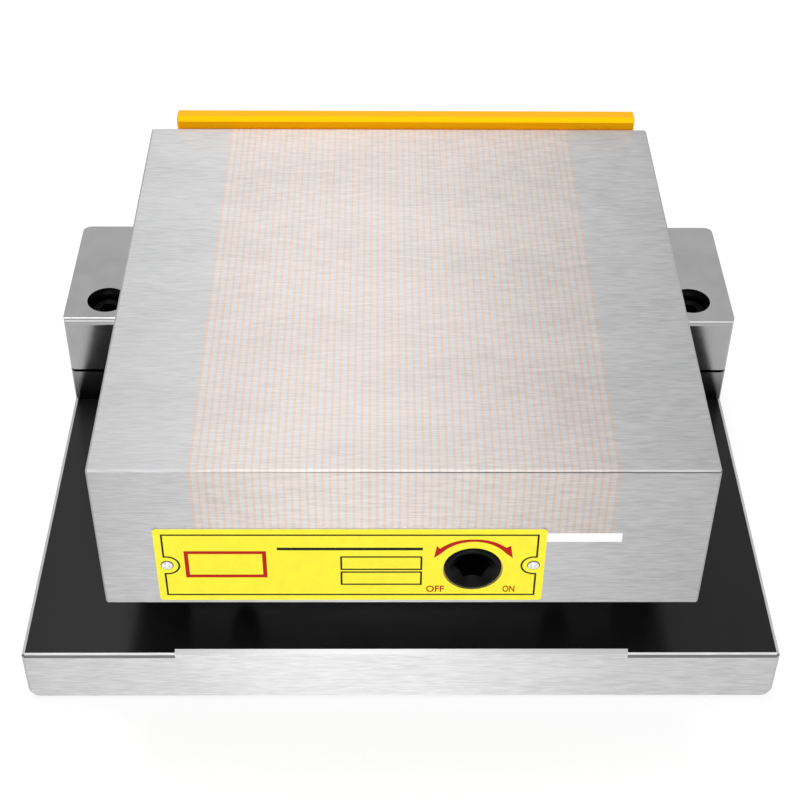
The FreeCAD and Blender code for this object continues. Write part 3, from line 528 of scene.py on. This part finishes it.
def lacquered_base(metal, paint):
    """Ground steel whose upper faces are lacquered satin black, while the broken edges stay bright."""
    material, tree = new_material("lacquered_base")
    marks = grinding_marks(tree, metal)
    height = object_place(tree, "Z")
    edges = broken_edges(tree)
    pad_edge = calculate(tree, "MULTIPLY", edges,
                         calculate(tree, "GREATER_THAN", height, BASE_HIGH.z - WING_DROP))
    wing_edge_shade = calculate(tree, "MULTIPLY", edges,
                          calculate(tree, "LESS_THAN", height, BASE_HIGH.z - WING_DROP - EDGE_SHADE_DEPTH))
    bare = two_shades(tree, ground_tone(tree, marks), metal.base_steel, *GROUND_SHADES)
    # Painted shade: the pad's broken edge is darkened so that its highlight is dimmer
    pad_edge_shaded = mix_colours(tree, pad_edge, bare, shade(metal.base_steel, PAD_EDGE_SHADE))
    # Painted shade: a dark line along the lower part of the wings' broken edge
    steel = mix_colours(tree, wing_edge_shade, pad_edge_shaded, shade(metal.base_steel, EDGE_SHADE_SHARE))
    smudges = grain(tree, (16 * MM, 34 * MM, 16 * MM), CRISP, 3.0)
    lacquer = two_shades(tree, smudges, paint.base_black, 0.6, 1.5)
    level = calculate(tree, "GREATER_THAN", facing(tree, "Z"), LEVEL)
    step = calculate(tree, "MULTIPLY", faces_along(tree, "X", LEVEL),
                     calculate(tree, "GREATER_THAN", height, BASE_HIGH.z - PAD_STEP))
    lacquered = calculate(tree, "MAXIMUM", level, step)
    inverse = calculate(tree, "SUBTRACT", 1.0, lacquered)
    rough = add_node(tree, "Mix", {"Factor": lacquered, "A": ground_roughness(tree, marks),
                                   "B": spread(tree, smudges, 0, 1, *LACQUER_ROUGHNESS)})
    surface(tree, {
        "Base Color": mix_colours(tree, lacquered, steel, lacquer),
        "Metallic": inverse,
        "Roughness": rough.outputs[0],
        "Specular IOR Level": 0.22,
        "Anisotropic": ANISOTROPY,
        "Anisotropic Rotation": QUARTER_TURN,
        "Tangent": across_marks(tree),
        "Normal": marks_bump(tree, calculate(tree, "MULTIPLY", marks, inverse), metal.line_depth),
    })
    return material


def gold_brass(metal):
    """Buffed brass of the stop: a saturated gold that tints what it mirrors, with faint long marks."""
    material, tree = new_material("gold_brass")
    marks = grain(tree, (18 * MM, metal.line_width, metal.line_width), SOFT)
    surface(tree, {
        "Base Color": two_shades(tree, marks, metal.gold_brass, 0.95, 1.04),
        "Metallic": 1.0,
        "Roughness": spread(tree, marks, 0, 1, 0.4, 0.46),
        "Normal": marks_bump(tree, marks, metal.line_depth, 0.1),
    })
    return material


def printed_sheet(name, colour, edge):
    """Screen-printed aluminium sheet: even matt ink, faintly mottled, with bare cut edges."""
    material, tree = new_material(name)
    mottle = even_grain(tree, 3.0, CRISP, 3.0)
    tooth = even_grain(tree, 0.3, SOFT)
    cut = calculate(tree, "SUBTRACT", 1.0, faces_along(tree, "Y", LEVEL))
    ink = two_shades(tree, mottle, colour, 0.96, 1.02)
    surface(tree, {
        "Base Color": mix_colours(tree, cut, ink, shade(edge, 1.0)),
        "Metallic": cut,
        "Roughness": spread(tree, mottle, 0, 1, 0.38, 0.5),
        "Specular IOR Level": 0.15,
        "Normal": marks_bump(tree, tooth, 0.01 * MM, 0.1),
    })
    return material


def cast_resin(paint):
    """Cast white epoxy, ground flush: dense and matt, with pin holes from the casting."""
    material, tree = new_material("cast_resin")
    pores = even_grain(tree, 0.5, (0.3, 0.42), 3.0)
    surface(tree, {
        "Base Color": two_shades(tree, pores, paint.resin, 0.88, 1.0),
        "Roughness": spread(tree, pores, 0, 1, 0.65, 0.5),
    })
    return material


def moulded_rubber(paint):
    """Moulded nitrile rubber: matt black with a faint bloom."""
    material, tree = new_material("moulded_rubber")
    bloom = even_grain(tree, 1.5, CRISP)
    surface(tree, {
        "Base Color": two_shades(tree, bloom, paint.rubber, 0.8, 1.3),
        "Roughness": spread(tree, bloom, 0, 1, 0.7, 0.82),
    })
    return material


def sintered_ferrite(paint):
    """Sintered ferrite, ground to size: dark grey and granular."""
    material, tree = new_material("sintered_ferrite")
    grains = even_grain(tree, 0.6, SOFT, 4.0)
    surface(tree, {
        "Base Color": two_shades(tree, grains, paint.ferrite, 0.7, 1.4),
        "Metallic": 0.2,
        "Roughness": spread(tree, grains, 0, 1, 0.48, 0.62),
        "Normal": marks_bump(tree, grains, 0.02 * MM, 0.3),
    })
    return material


def shared(finish, settings):
    """A finish that pieces of several groups have, made for the first group that asks for it."""
    return bpy.data.materials.get(finish.__name__ + FINISH) or finish(settings)


def dress(material, *nodes):
    """Gives a material to solids of the frame."""
    for name in nodes:
        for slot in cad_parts[name].material_slots:
            slot.material = material


def add_print(name, data, material):
    """Makes a piece of a printed mesh, gives it its ink and fixes it to the chuck with the name plate."""
    data.materials.clear()
    data.materials.append(material)
    piece = bpy.data.objects.new(name, data)
    bpy.context.collection.objects.link(piece)
    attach(piece, "chuck")


def arc(centre, radius, start, end):
    """Points of an arc on the plate, from one angle in degrees to another."""
    angles = [math.radians(start + (end - start) * i / ARC_STEPS) for i in range(ARC_STEPS + 1)]
    return [centre + Vector((radius * math.cos(a), radius * math.sin(a))) for a in angles]


def stroke_sides(points, width, closed):
    """The two edges of a line of a given width along points."""
    count = len(points)
    left, right = [], []
    for i, point in enumerate(points):
        before = points[i - 1] if closed or i else point
        after = points[(i + 1) % count] if closed or i < count - 1 else point
        first = (point - before).normalized() if point != before else (after - point).normalized()
        second = (after - point).normalized() if point != after else first
        across = Vector((-first.y - second.y, first.x + second.x)).normalized()
        square = Vector((-first.y, first.x))
        reach = width / 2 / max(across.dot(square), MITRE_LIMIT)
        left.append(point + across * reach)
        right.append(point - across * reach)
    return left, right


def add_stroke(mesh, points, width, closed=False):
    """Adds the faces of a printed line, on the plate's front, to a mesh."""
    left, right = stroke_sides(points, width, closed)
    rows = [[mesh.verts.new((p.x, PLATE_LOW.y, p.y)) for p in side] for side in (left, right)]
    count = len(points)
    for i in range(count if closed else count - 1):
        j = (i + 1) % count
        mesh.faces.new((rows[0][i], rows[1][i], rows[1][j], rows[0][j]))


def add_polygon(mesh, points):
    """Adds one printed face to a mesh."""
    mesh.faces.new([mesh.verts.new((p.x, PLATE_LOW.y, p.y)) for p in points])


def finish_print(name, mesh, settings, material):
    """Turns flat printed faces into a thin closed layer that rides on the plate."""
    bmesh.ops.recalc_face_normals(mesh, faces=mesh.faces)
    flat = list(mesh.faces)
    raised = bmesh.ops.extrude_face_region(mesh, geom=flat)["geom"]
    moved = [part for part in raised if isinstance(part, bmesh.types.BMVert)]
    bmesh.ops.translate(mesh, verts=moved, vec=(0, -settings.ink, 0))
    bmesh.ops.recalc_face_normals(mesh, faces=mesh.faces)
    data = bpy.data.meshes.new(name)
    mesh.to_mesh(data)
    mesh.free()
    add_print(name, data, material)


def plate_corner():
    """Left end of the plate's upper edge."""
    return Vector((PLATE_LOW.x, PLATE_HIGH.z))


def rivet_centres():
    """Centres of the two rivets on the plate."""
    radius = (RIVETS_HIGH.z - RIVETS_LOW.z) / 2
    middle = (RIVETS_LOW.z + RIVETS_HIGH.z) / 2
    return Vector((RIVETS_LOW.x + radius, middle)), Vector((RIVETS_HIGH.x - radius, middle))


def socket_centre():
    """Centre of the drive shaft on the plate."""
    return Vector((SHAFT_HIGH.x - (SHAFT_HIGH.z - SHAFT_LOW.z) / 2, (SHAFT_LOW.z + SHAFT_HIGH.z) / 2))


def border_points(settings):
    """Border of the plate, which steps round the rivets."""
    left, right = PLATE_LOW.x + settings.inset, PLATE_HIGH.x - settings.inset
    low, high = PLATE_LOW.z + settings.inset, PLATE_HIGH.z - settings.inset
    left_rivet, right_rivet = rivet_centres()
    above, below = left_rivet.y + settings.notch, left_rivet.y - settings.notch
    points = [Vector((left, high)), Vector((right, high)), Vector((right, above))]
    points += arc(right_rivet, settings.notch, 90, 270)
    points += [Vector((right, below)), Vector((right, low)), Vector((left, low)), Vector((left, below))]
    points += arc(left_rivet, settings.notch, -90, 90)
    points.append(Vector((left, above)))
    return points


def print_border(settings, material):
    """Black border with a half-round notch at each rivet."""
    mesh = bmesh.new()
    add_stroke(mesh, border_points(settings), settings.stroke, closed=True)
    finish_print("plate_border_print", mesh, settings, material)


def add_box(mesh, place, size, stroke):
    """Adds a printed box to a mesh, placed to the right of and below the plate's upper left corner."""
    x, z = plate_corner().x + place[0], plate_corner().y - place[1]
    length, height = size
    corners = [(x, z), (x + length, z), (x + length, z - height), (x, z - height)]
    add_stroke(mesh, [Vector(corner) for corner in corners], stroke, closed=True)


def print_boxes(settings, material):
    """Two blank boxes."""
    mesh = bmesh.new()
    for row in range(2):
        drop = settings.box_drop + row * (settings.box_height + settings.box_gap)
        place, size = (settings.box_left, drop), (settings.box_length, settings.box_height)
        add_box(mesh, place, size, settings.stroke)
    finish_print("plate_box_print", mesh, settings, material)


def print_rule(settings, material):
    """Plain black rule over the boxes."""
    mesh = bmesh.new()
    start = plate_corner() + Vector((settings.rule_left, -settings.rule_drop))
    add_stroke(mesh, [start, start + Vector((settings.rule_length, 0))], settings.rule_stroke)
    finish_print("plate_rule_print", mesh, settings, material)


def print_frame(settings, material):
    """Plain red frame at the left."""
    mesh = bmesh.new()
    place, size = (settings.frame_left, settings.frame_drop), (settings.frame_length, settings.frame_height)
    add_box(mesh, place, size, settings.frame_stroke)
    finish_print("plate_frame_print", mesh, settings, material)


def print_arrow(settings, material):
    """Red arrow with two heads that bends over the socket and swells towards its heads."""
    centre, inside = socket_centre(), settings.arrow_radius
    tip, heel, neck, barb = ARROW_ANGLES
    half = []
    for i in range(ARC_STEPS + 1):
        width = settings.arrow_stroke + (settings.arrow_neck - settings.arrow_stroke) * i / ARC_STEPS
        half.append((90 - (90 - neck) * i / ARC_STEPS, inside + width))
    half += [(barb, inside + settings.arrow_barb), (tip, inside + settings.arrow_tip)]
    half += [(heel + (90 - heel) * i / ARC_STEPS, inside) for i in range(ARC_STEPS)]
    outline = half + [(90, inside)] + [(180 - angle, reach) for angle, reach in reversed(half[1:])]
    turned = [(math.radians(angle), reach) for angle, reach in outline]
    mesh = bmesh.new()
    add_polygon(mesh, [centre + Vector((reach * math.cos(angle), reach * math.sin(angle)))
                       for angle, reach in turned])
    bmesh.ops.triangulate(mesh, faces=mesh.faces)
    finish_print("plate_arrow_print", mesh, settings, material)


def print_word(name, word, side, settings, material):
    """One short word beside the socket."""
    curve = bpy.data.curves.new(name, "FONT")
    curve.body = word
    curve.align_x = "CENTER"
    curve.align_y = "CENTER"
    curve.size = settings.letter_height / CAPITAL_SHARE
    curve.extrude = settings.ink / 2
    curve.offset = settings.letter_height * BOLDNESS
    curve.resolution_u = 6
    text = bpy.data.objects.new(name, curve)
    bpy.context.collection.objects.link(text)
    bpy.context.view_layer.update()
    data = bpy.data.meshes.new_from_object(text.evaluated_get(bpy.context.evaluated_depsgraph_get()))
    bpy.data.objects.remove(text)
    places = [vertex.co.x for vertex in data.vertices]
    squeeze = len(word) * settings.letter_width / (max(places) - min(places))
    centre = socket_centre()
    place = Vector((centre.x + side * settings.letter_reach, PLATE_LOW.y - settings.ink / 2,
                    centre.y - settings.letter_drop))
    upright = Matrix.Rotation(math.pi / 2, 4, "X")
    data.transform(Matrix.Translation(place) @ upright @ Matrix.Diagonal((squeeze, 1, 1, 1)))
    data.name = name
    add_print(name, data, material)


class CHUCK_OT_base_plate(Operator):
    """Dress the base plate: black lacquer above, ground steel on its sides and broken edges"""

    bl_idname = "chuck.base_plate"
    bl_label = "Base plate"

    def execute(self, context):
        dress(lacquered_base(context.scene.chuck_metal, context.scene.chuck_paint), "base_plate")
        return {"FINISHED"}


class CHUCK_OT_clamp_blocks(Operator):
    """Dress the two split clamp blocks in satin steel"""

    bl_idname = "chuck.clamp_blocks"
    bl_label = "Clamp blocks"

    def execute(self, context):
        dress(shared(satin_steel, context.scene.chuck_metal), "left_clamp_block", "right_clamp_block")
        return {"FINISHED"}


class CHUCK_OT_sine_parts(Operator):
    """Dress the sine body in ground steel and its rollers in turned steel"""

    bl_idname = "chuck.sine_parts"
    bl_label = "Sine body and rollers"

    def execute(self, context):
        metal = context.scene.chuck_metal
        dress(ground_metal("ground_sine_body", metal.satin_steel, metal), "sine_body", "bottom_cover")
        dress(shared(turned_steel, metal), "front_roller", "hinge_roller")
        return {"FINISHED"}


class CHUCK_OT_chuck_frame(Operator):
    """Dress the chuck's frame in ground steel"""

    bl_idname = "chuck.chuck_frame"
    bl_label = "Chuck frame"

    def execute(self, context):
        metal = context.scene.chuck_metal
        dress(ground_metal("ground_steel", metal.ground_steel, metal), "chuck_frame")
        return {"FINISHED"}


class CHUCK_OT_pole_pack(Operator):
    """Dress the steel and copper strips and the resin below them"""

    bl_idname = "chuck.pole_pack"
    bl_label = "Pole pack"

    def execute(self, context):
        metal = context.scene.chuck_metal
        poles = ground_metal("ground_pole_steel", metal.pole_steel, metal, metal.copper)
        dress(poles, "steel_laminations")
        dress(ground_metal("ground_copper", metal.copper, metal), "copper_spacers")
        dress(cast_resin(context.scene.chuck_paint), "resin_strips")
        return {"FINISHED"}


class CHUCK_OT_drive(Operator):
    """Dress the drive shaft, its bush, its seal and the ring on its crank"""

    bl_idname = "chuck.drive"
    bl_label = "Drive"

    def execute(self, context):
        metal = context.scene.chuck_metal
        dress(shared(black_oxide, metal), "drive_shaft", "drive_stop_screw")
        dress(shared(milled_brass, metal), "drive_bush")
        dress(moulded_rubber(context.scene.chuck_paint), "drive_seal")
        dress(shared(turned_steel, metal), "crank_ring")
        return {"FINISHED"}


class CHUCK_OT_magnet_carriage(Operator):
    """Dress the sliding magnet carriage and its guides"""

    bl_idname = "chuck.magnet_carriage"
    bl_label = "Magnet carriage"

    def execute(self, context):
        metal = context.scene.chuck_metal
        dress(shared(milled_brass, metal), "carriage_tray", "carriage_yoke", "guide_strips")
        dress(sintered_ferrite(context.scene.chuck_paint), "magnets")
        dress(ground_metal("ground_carriage_poles", metal.satin_steel, metal), "carriage_poles")
        return {"FINISHED"}


class CHUCK_OT_fasteners(Operator):
    """Dress the blackened screws and the steel washers"""

    bl_idname = "chuck.fasteners"
    bl_label = "Fasteners"

    def execute(self, context):
        metal = context.scene.chuck_metal
        dress(shared(black_oxide, metal), "left_lock_screw", "right_lock_screw", "block_screws",
              "roller_screws", "sine_body_screws", "cover_screws", "stop_screws")
        dress(shared(satin_steel, metal), "stop_washers")
        return {"FINISHED"}


class CHUCK_OT_rear_stop(Operator):
    """Dress the rear stop plate in gold brass"""

    bl_idname = "chuck.rear_stop"
    bl_label = "Rear stop plate"

    def execute(self, context):
        dress(gold_brass(context.scene.chuck_metal), "rear_stop_plate")
        return {"FINISHED"}


class CHUCK_OT_name_plate(Operator):
    """Dress the name plate and its rivets, and print its lines, arrow, OFF and ON"""

    bl_idname = "chuck.name_plate"
    bl_label = "Name plate"

    def execute(self, context):
        paint, settings = context.scene.chuck_paint, context.scene.chuck_print
        metal = context.scene.chuck_metal
        dress(printed_sheet("yellow_sheet", paint.plate_yellow, metal.aluminium), "name_plate")
        dress(bright_aluminium(metal), "plate_rivets")
        black = printed_sheet("black_print", paint.print_black, paint.print_black)
        red = printed_sheet("red_print", paint.print_red, paint.print_red)
        print_border(settings, black)
        print_boxes(settings, black)
        print_rule(settings, black)
        print_frame(settings, red)
        print_arrow(settings, red)
        print_word("plate_off_print", "OFF", -1, settings, red)
        print_word("plate_on_print", "ON", 1, settings, red)
        return {"FINISHED"}


def add_softbox(name, place, size, power):
    """A square soft light that looks at the middle of the object."""
    lamp = bpy.data.lights.new(name, "AREA")
    lamp.shape = "RECTANGLE"
    lamp.size, lamp.size_y = size
    lamp.energy = power
    box = bpy.data.objects.new(name, lamp)
    box.location = place
    box.rotation_euler = (Vector(LAMP_TARGET) - Vector(place)).to_track_quat("-Z", "Y").to_euler()
    bpy.context.collection.objects.link(box)


def shown_ray(tree):
    """1 for rays from the camera and for those that mirrors and glass send on."""
    path = add_node(tree, "LightPath").outputs
    mirrored = calculate(tree, "MAXIMUM", path["Is Glossy Ray"], path["Is Transmission Ray"])
    return calculate(tree, "MAXIMUM", path["Is Camera Ray"], mirrored)


def build_world(studio):
    """Even light from all round, with a white background for the camera and for metal."""
    world = bpy.data.worlds.new("studio")
    bpy.context.scene.world = world
    world.use_nodes = True
    tree = world.node_tree
    tree.nodes.clear()
    light = add_node(tree, "Background", {"Color": (1, 1, 1, 1), "Strength": studio.ambient})
    backdrop = add_node(tree, "Background", {"Color": shade(studio.background, 1.0), "Strength": 1.0})
    inputs = {0: shown_ray(tree), 1: light.outputs[0], 2: backdrop.outputs[0]}
    add_node(tree, "OutputWorld", {"Surface": add_node(tree, "MixShader", inputs).outputs[0]})


def floor_material(studio):
    """Matt white floor that fades into the background and keeps a soft shadow."""
    material, tree = new_material("studio_floor")
    plain = add_node(tree, "BsdfPrincipled", {
        "Base Color": shade(studio.background, FLOOR_SHADE),
        "Roughness": 0.6,
    })
    lit = add_node(tree, "BsdfPrincipled", {
        "Base Color": shade(studio.background, FLOOR_SHOWN_SHADE),
        "Roughness": 0.55,
        "Specular IOR Level": 0.3,
    })
    glow = add_node(tree, "Emission", {"Color": shade(studio.background, 1.0), "Strength": FLOOR_GLOW})
    shown = add_node(tree, "AddShader", {0: lit.outputs[0], 1: glow.outputs[0]})
    both = add_node(tree, "MixShader", {0: shown_ray(tree), 1: plain.outputs[0], 2: shown.outputs[0]})
    add_node(tree, "OutputMaterial", {"Surface": both.outputs[0]})
    return material


def add_floor(studio):
    """Flat floor under the base."""
    mesh = bmesh.new()
    bmesh.ops.create_grid(mesh, x_segments=1, y_segments=1, size=FLOOR_SIZE)
    data = bpy.data.meshes.new("studio_floor")
    mesh.to_mesh(data)
    mesh.free()
    data.materials.append(floor_material(studio))
    floor = bpy.data.objects.new("studio_floor", data)
    bpy.context.collection.objects.link(floor)


def add_camera(studio):
    """Camera above the front edge, as the chuck is seen on a bench."""
    data = bpy.data.cameras.new("camera")
    data.lens = studio.focal_length
    data.clip_start = 0.01
    camera = bpy.data.objects.new("camera", data)
    turn = (Matrix.Rotation(studio.camera_yaw, 4, "Z") @ Matrix.Rotation(-studio.camera_pitch, 4, "X")
            @ Matrix.Rotation(studio.camera_roll, 4, "Y") @ Matrix.Rotation(math.pi / 2, 4, "X"))
    camera.matrix_world = Matrix.Translation(Vector(studio.camera_place)) @ turn
    bpy.context.collection.objects.link(camera)
    bpy.context.scene.camera = camera


class CHUCK_OT_studio(Operator):
    """Set up the white floor, the soft lights, the camera and the view transform"""

    bl_idname = "chuck.studio"
    bl_label = "Studio"

    def execute(self, context):
        studio = context.scene.chuck_studio
        context.scene.view_settings.view_transform = "Standard"
        build_world(studio)
        add_floor(studio)
        for name, power, place, size in LAMPS:
            add_softbox(name, place, size, getattr(studio, power))
        add_camera(studio)
        return {"FINISHED"}


PIECE_OPERATORS = (CHUCK_OT_base_plate, CHUCK_OT_clamp_blocks, CHUCK_OT_sine_parts, CHUCK_OT_chuck_frame,
                   CHUCK_OT_pole_pack, CHUCK_OT_drive, CHUCK_OT_magnet_carriage, CHUCK_OT_fasteners,
                   CHUCK_OT_rear_stop, CHUCK_OT_name_plate, CHUCK_OT_studio)


class CHUCK_PT_panel(Panel):
    """Lists the operators and their settings"""

    bl_idname = "CHUCK_PT_panel"
    bl_label = "Magnetic chuck"
    bl_space_type = "VIEW_3D"
    bl_region_type = "UI"
    bl_category = "Magnetic chuck"

    def draw(self, context):
        layout = self.layout
        for operator in PIECE_OPERATORS:
            layout.operator(operator.bl_idname)
        for name in SETTINGS:
            settings = getattr(context.scene, name)
            column = layout.column(heading=settings.bl_rna.name)
            for entry in settings.bl_rna.properties:
                if entry.identifier not in ("rna_type", "name"):
                    column.prop(settings, entry.identifier)


SETTINGS = {
    "chuck_metal": ChuckMetalSettings,
    "chuck_paint": ChuckPaintSettings,
    "chuck_print": ChuckPrintSettings,
    "chuck_studio": ChuckStudioSettings,
}


def register():
    """Makes the settings, the operators and the panel known to Blender."""
    for group in (*SETTINGS.values(), *PIECE_OPERATORS, CHUCK_PT_panel):
        bpy.utils.register_class(group)
    for name, group in SETTINGS.items():
        setattr(bpy.types.Scene, name, PointerProperty(type=group))


def unregister():
    """Takes them away again."""
    for name in SETTINGS:
        delattr(bpy.types.Scene, name)
    for group in (CHUCK_PT_panel, *reversed(PIECE_OPERATORS), *SETTINGS.values()):
        bpy.utils.unregister_class(group)


def main():
    """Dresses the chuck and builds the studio."""
    register()
    for operator in PIECE_OPERATORS:
        group, name = operator.bl_idname.split(".")
        getattr(getattr(bpy.ops, group), name)()


if __name__ == "__main__":
    main()
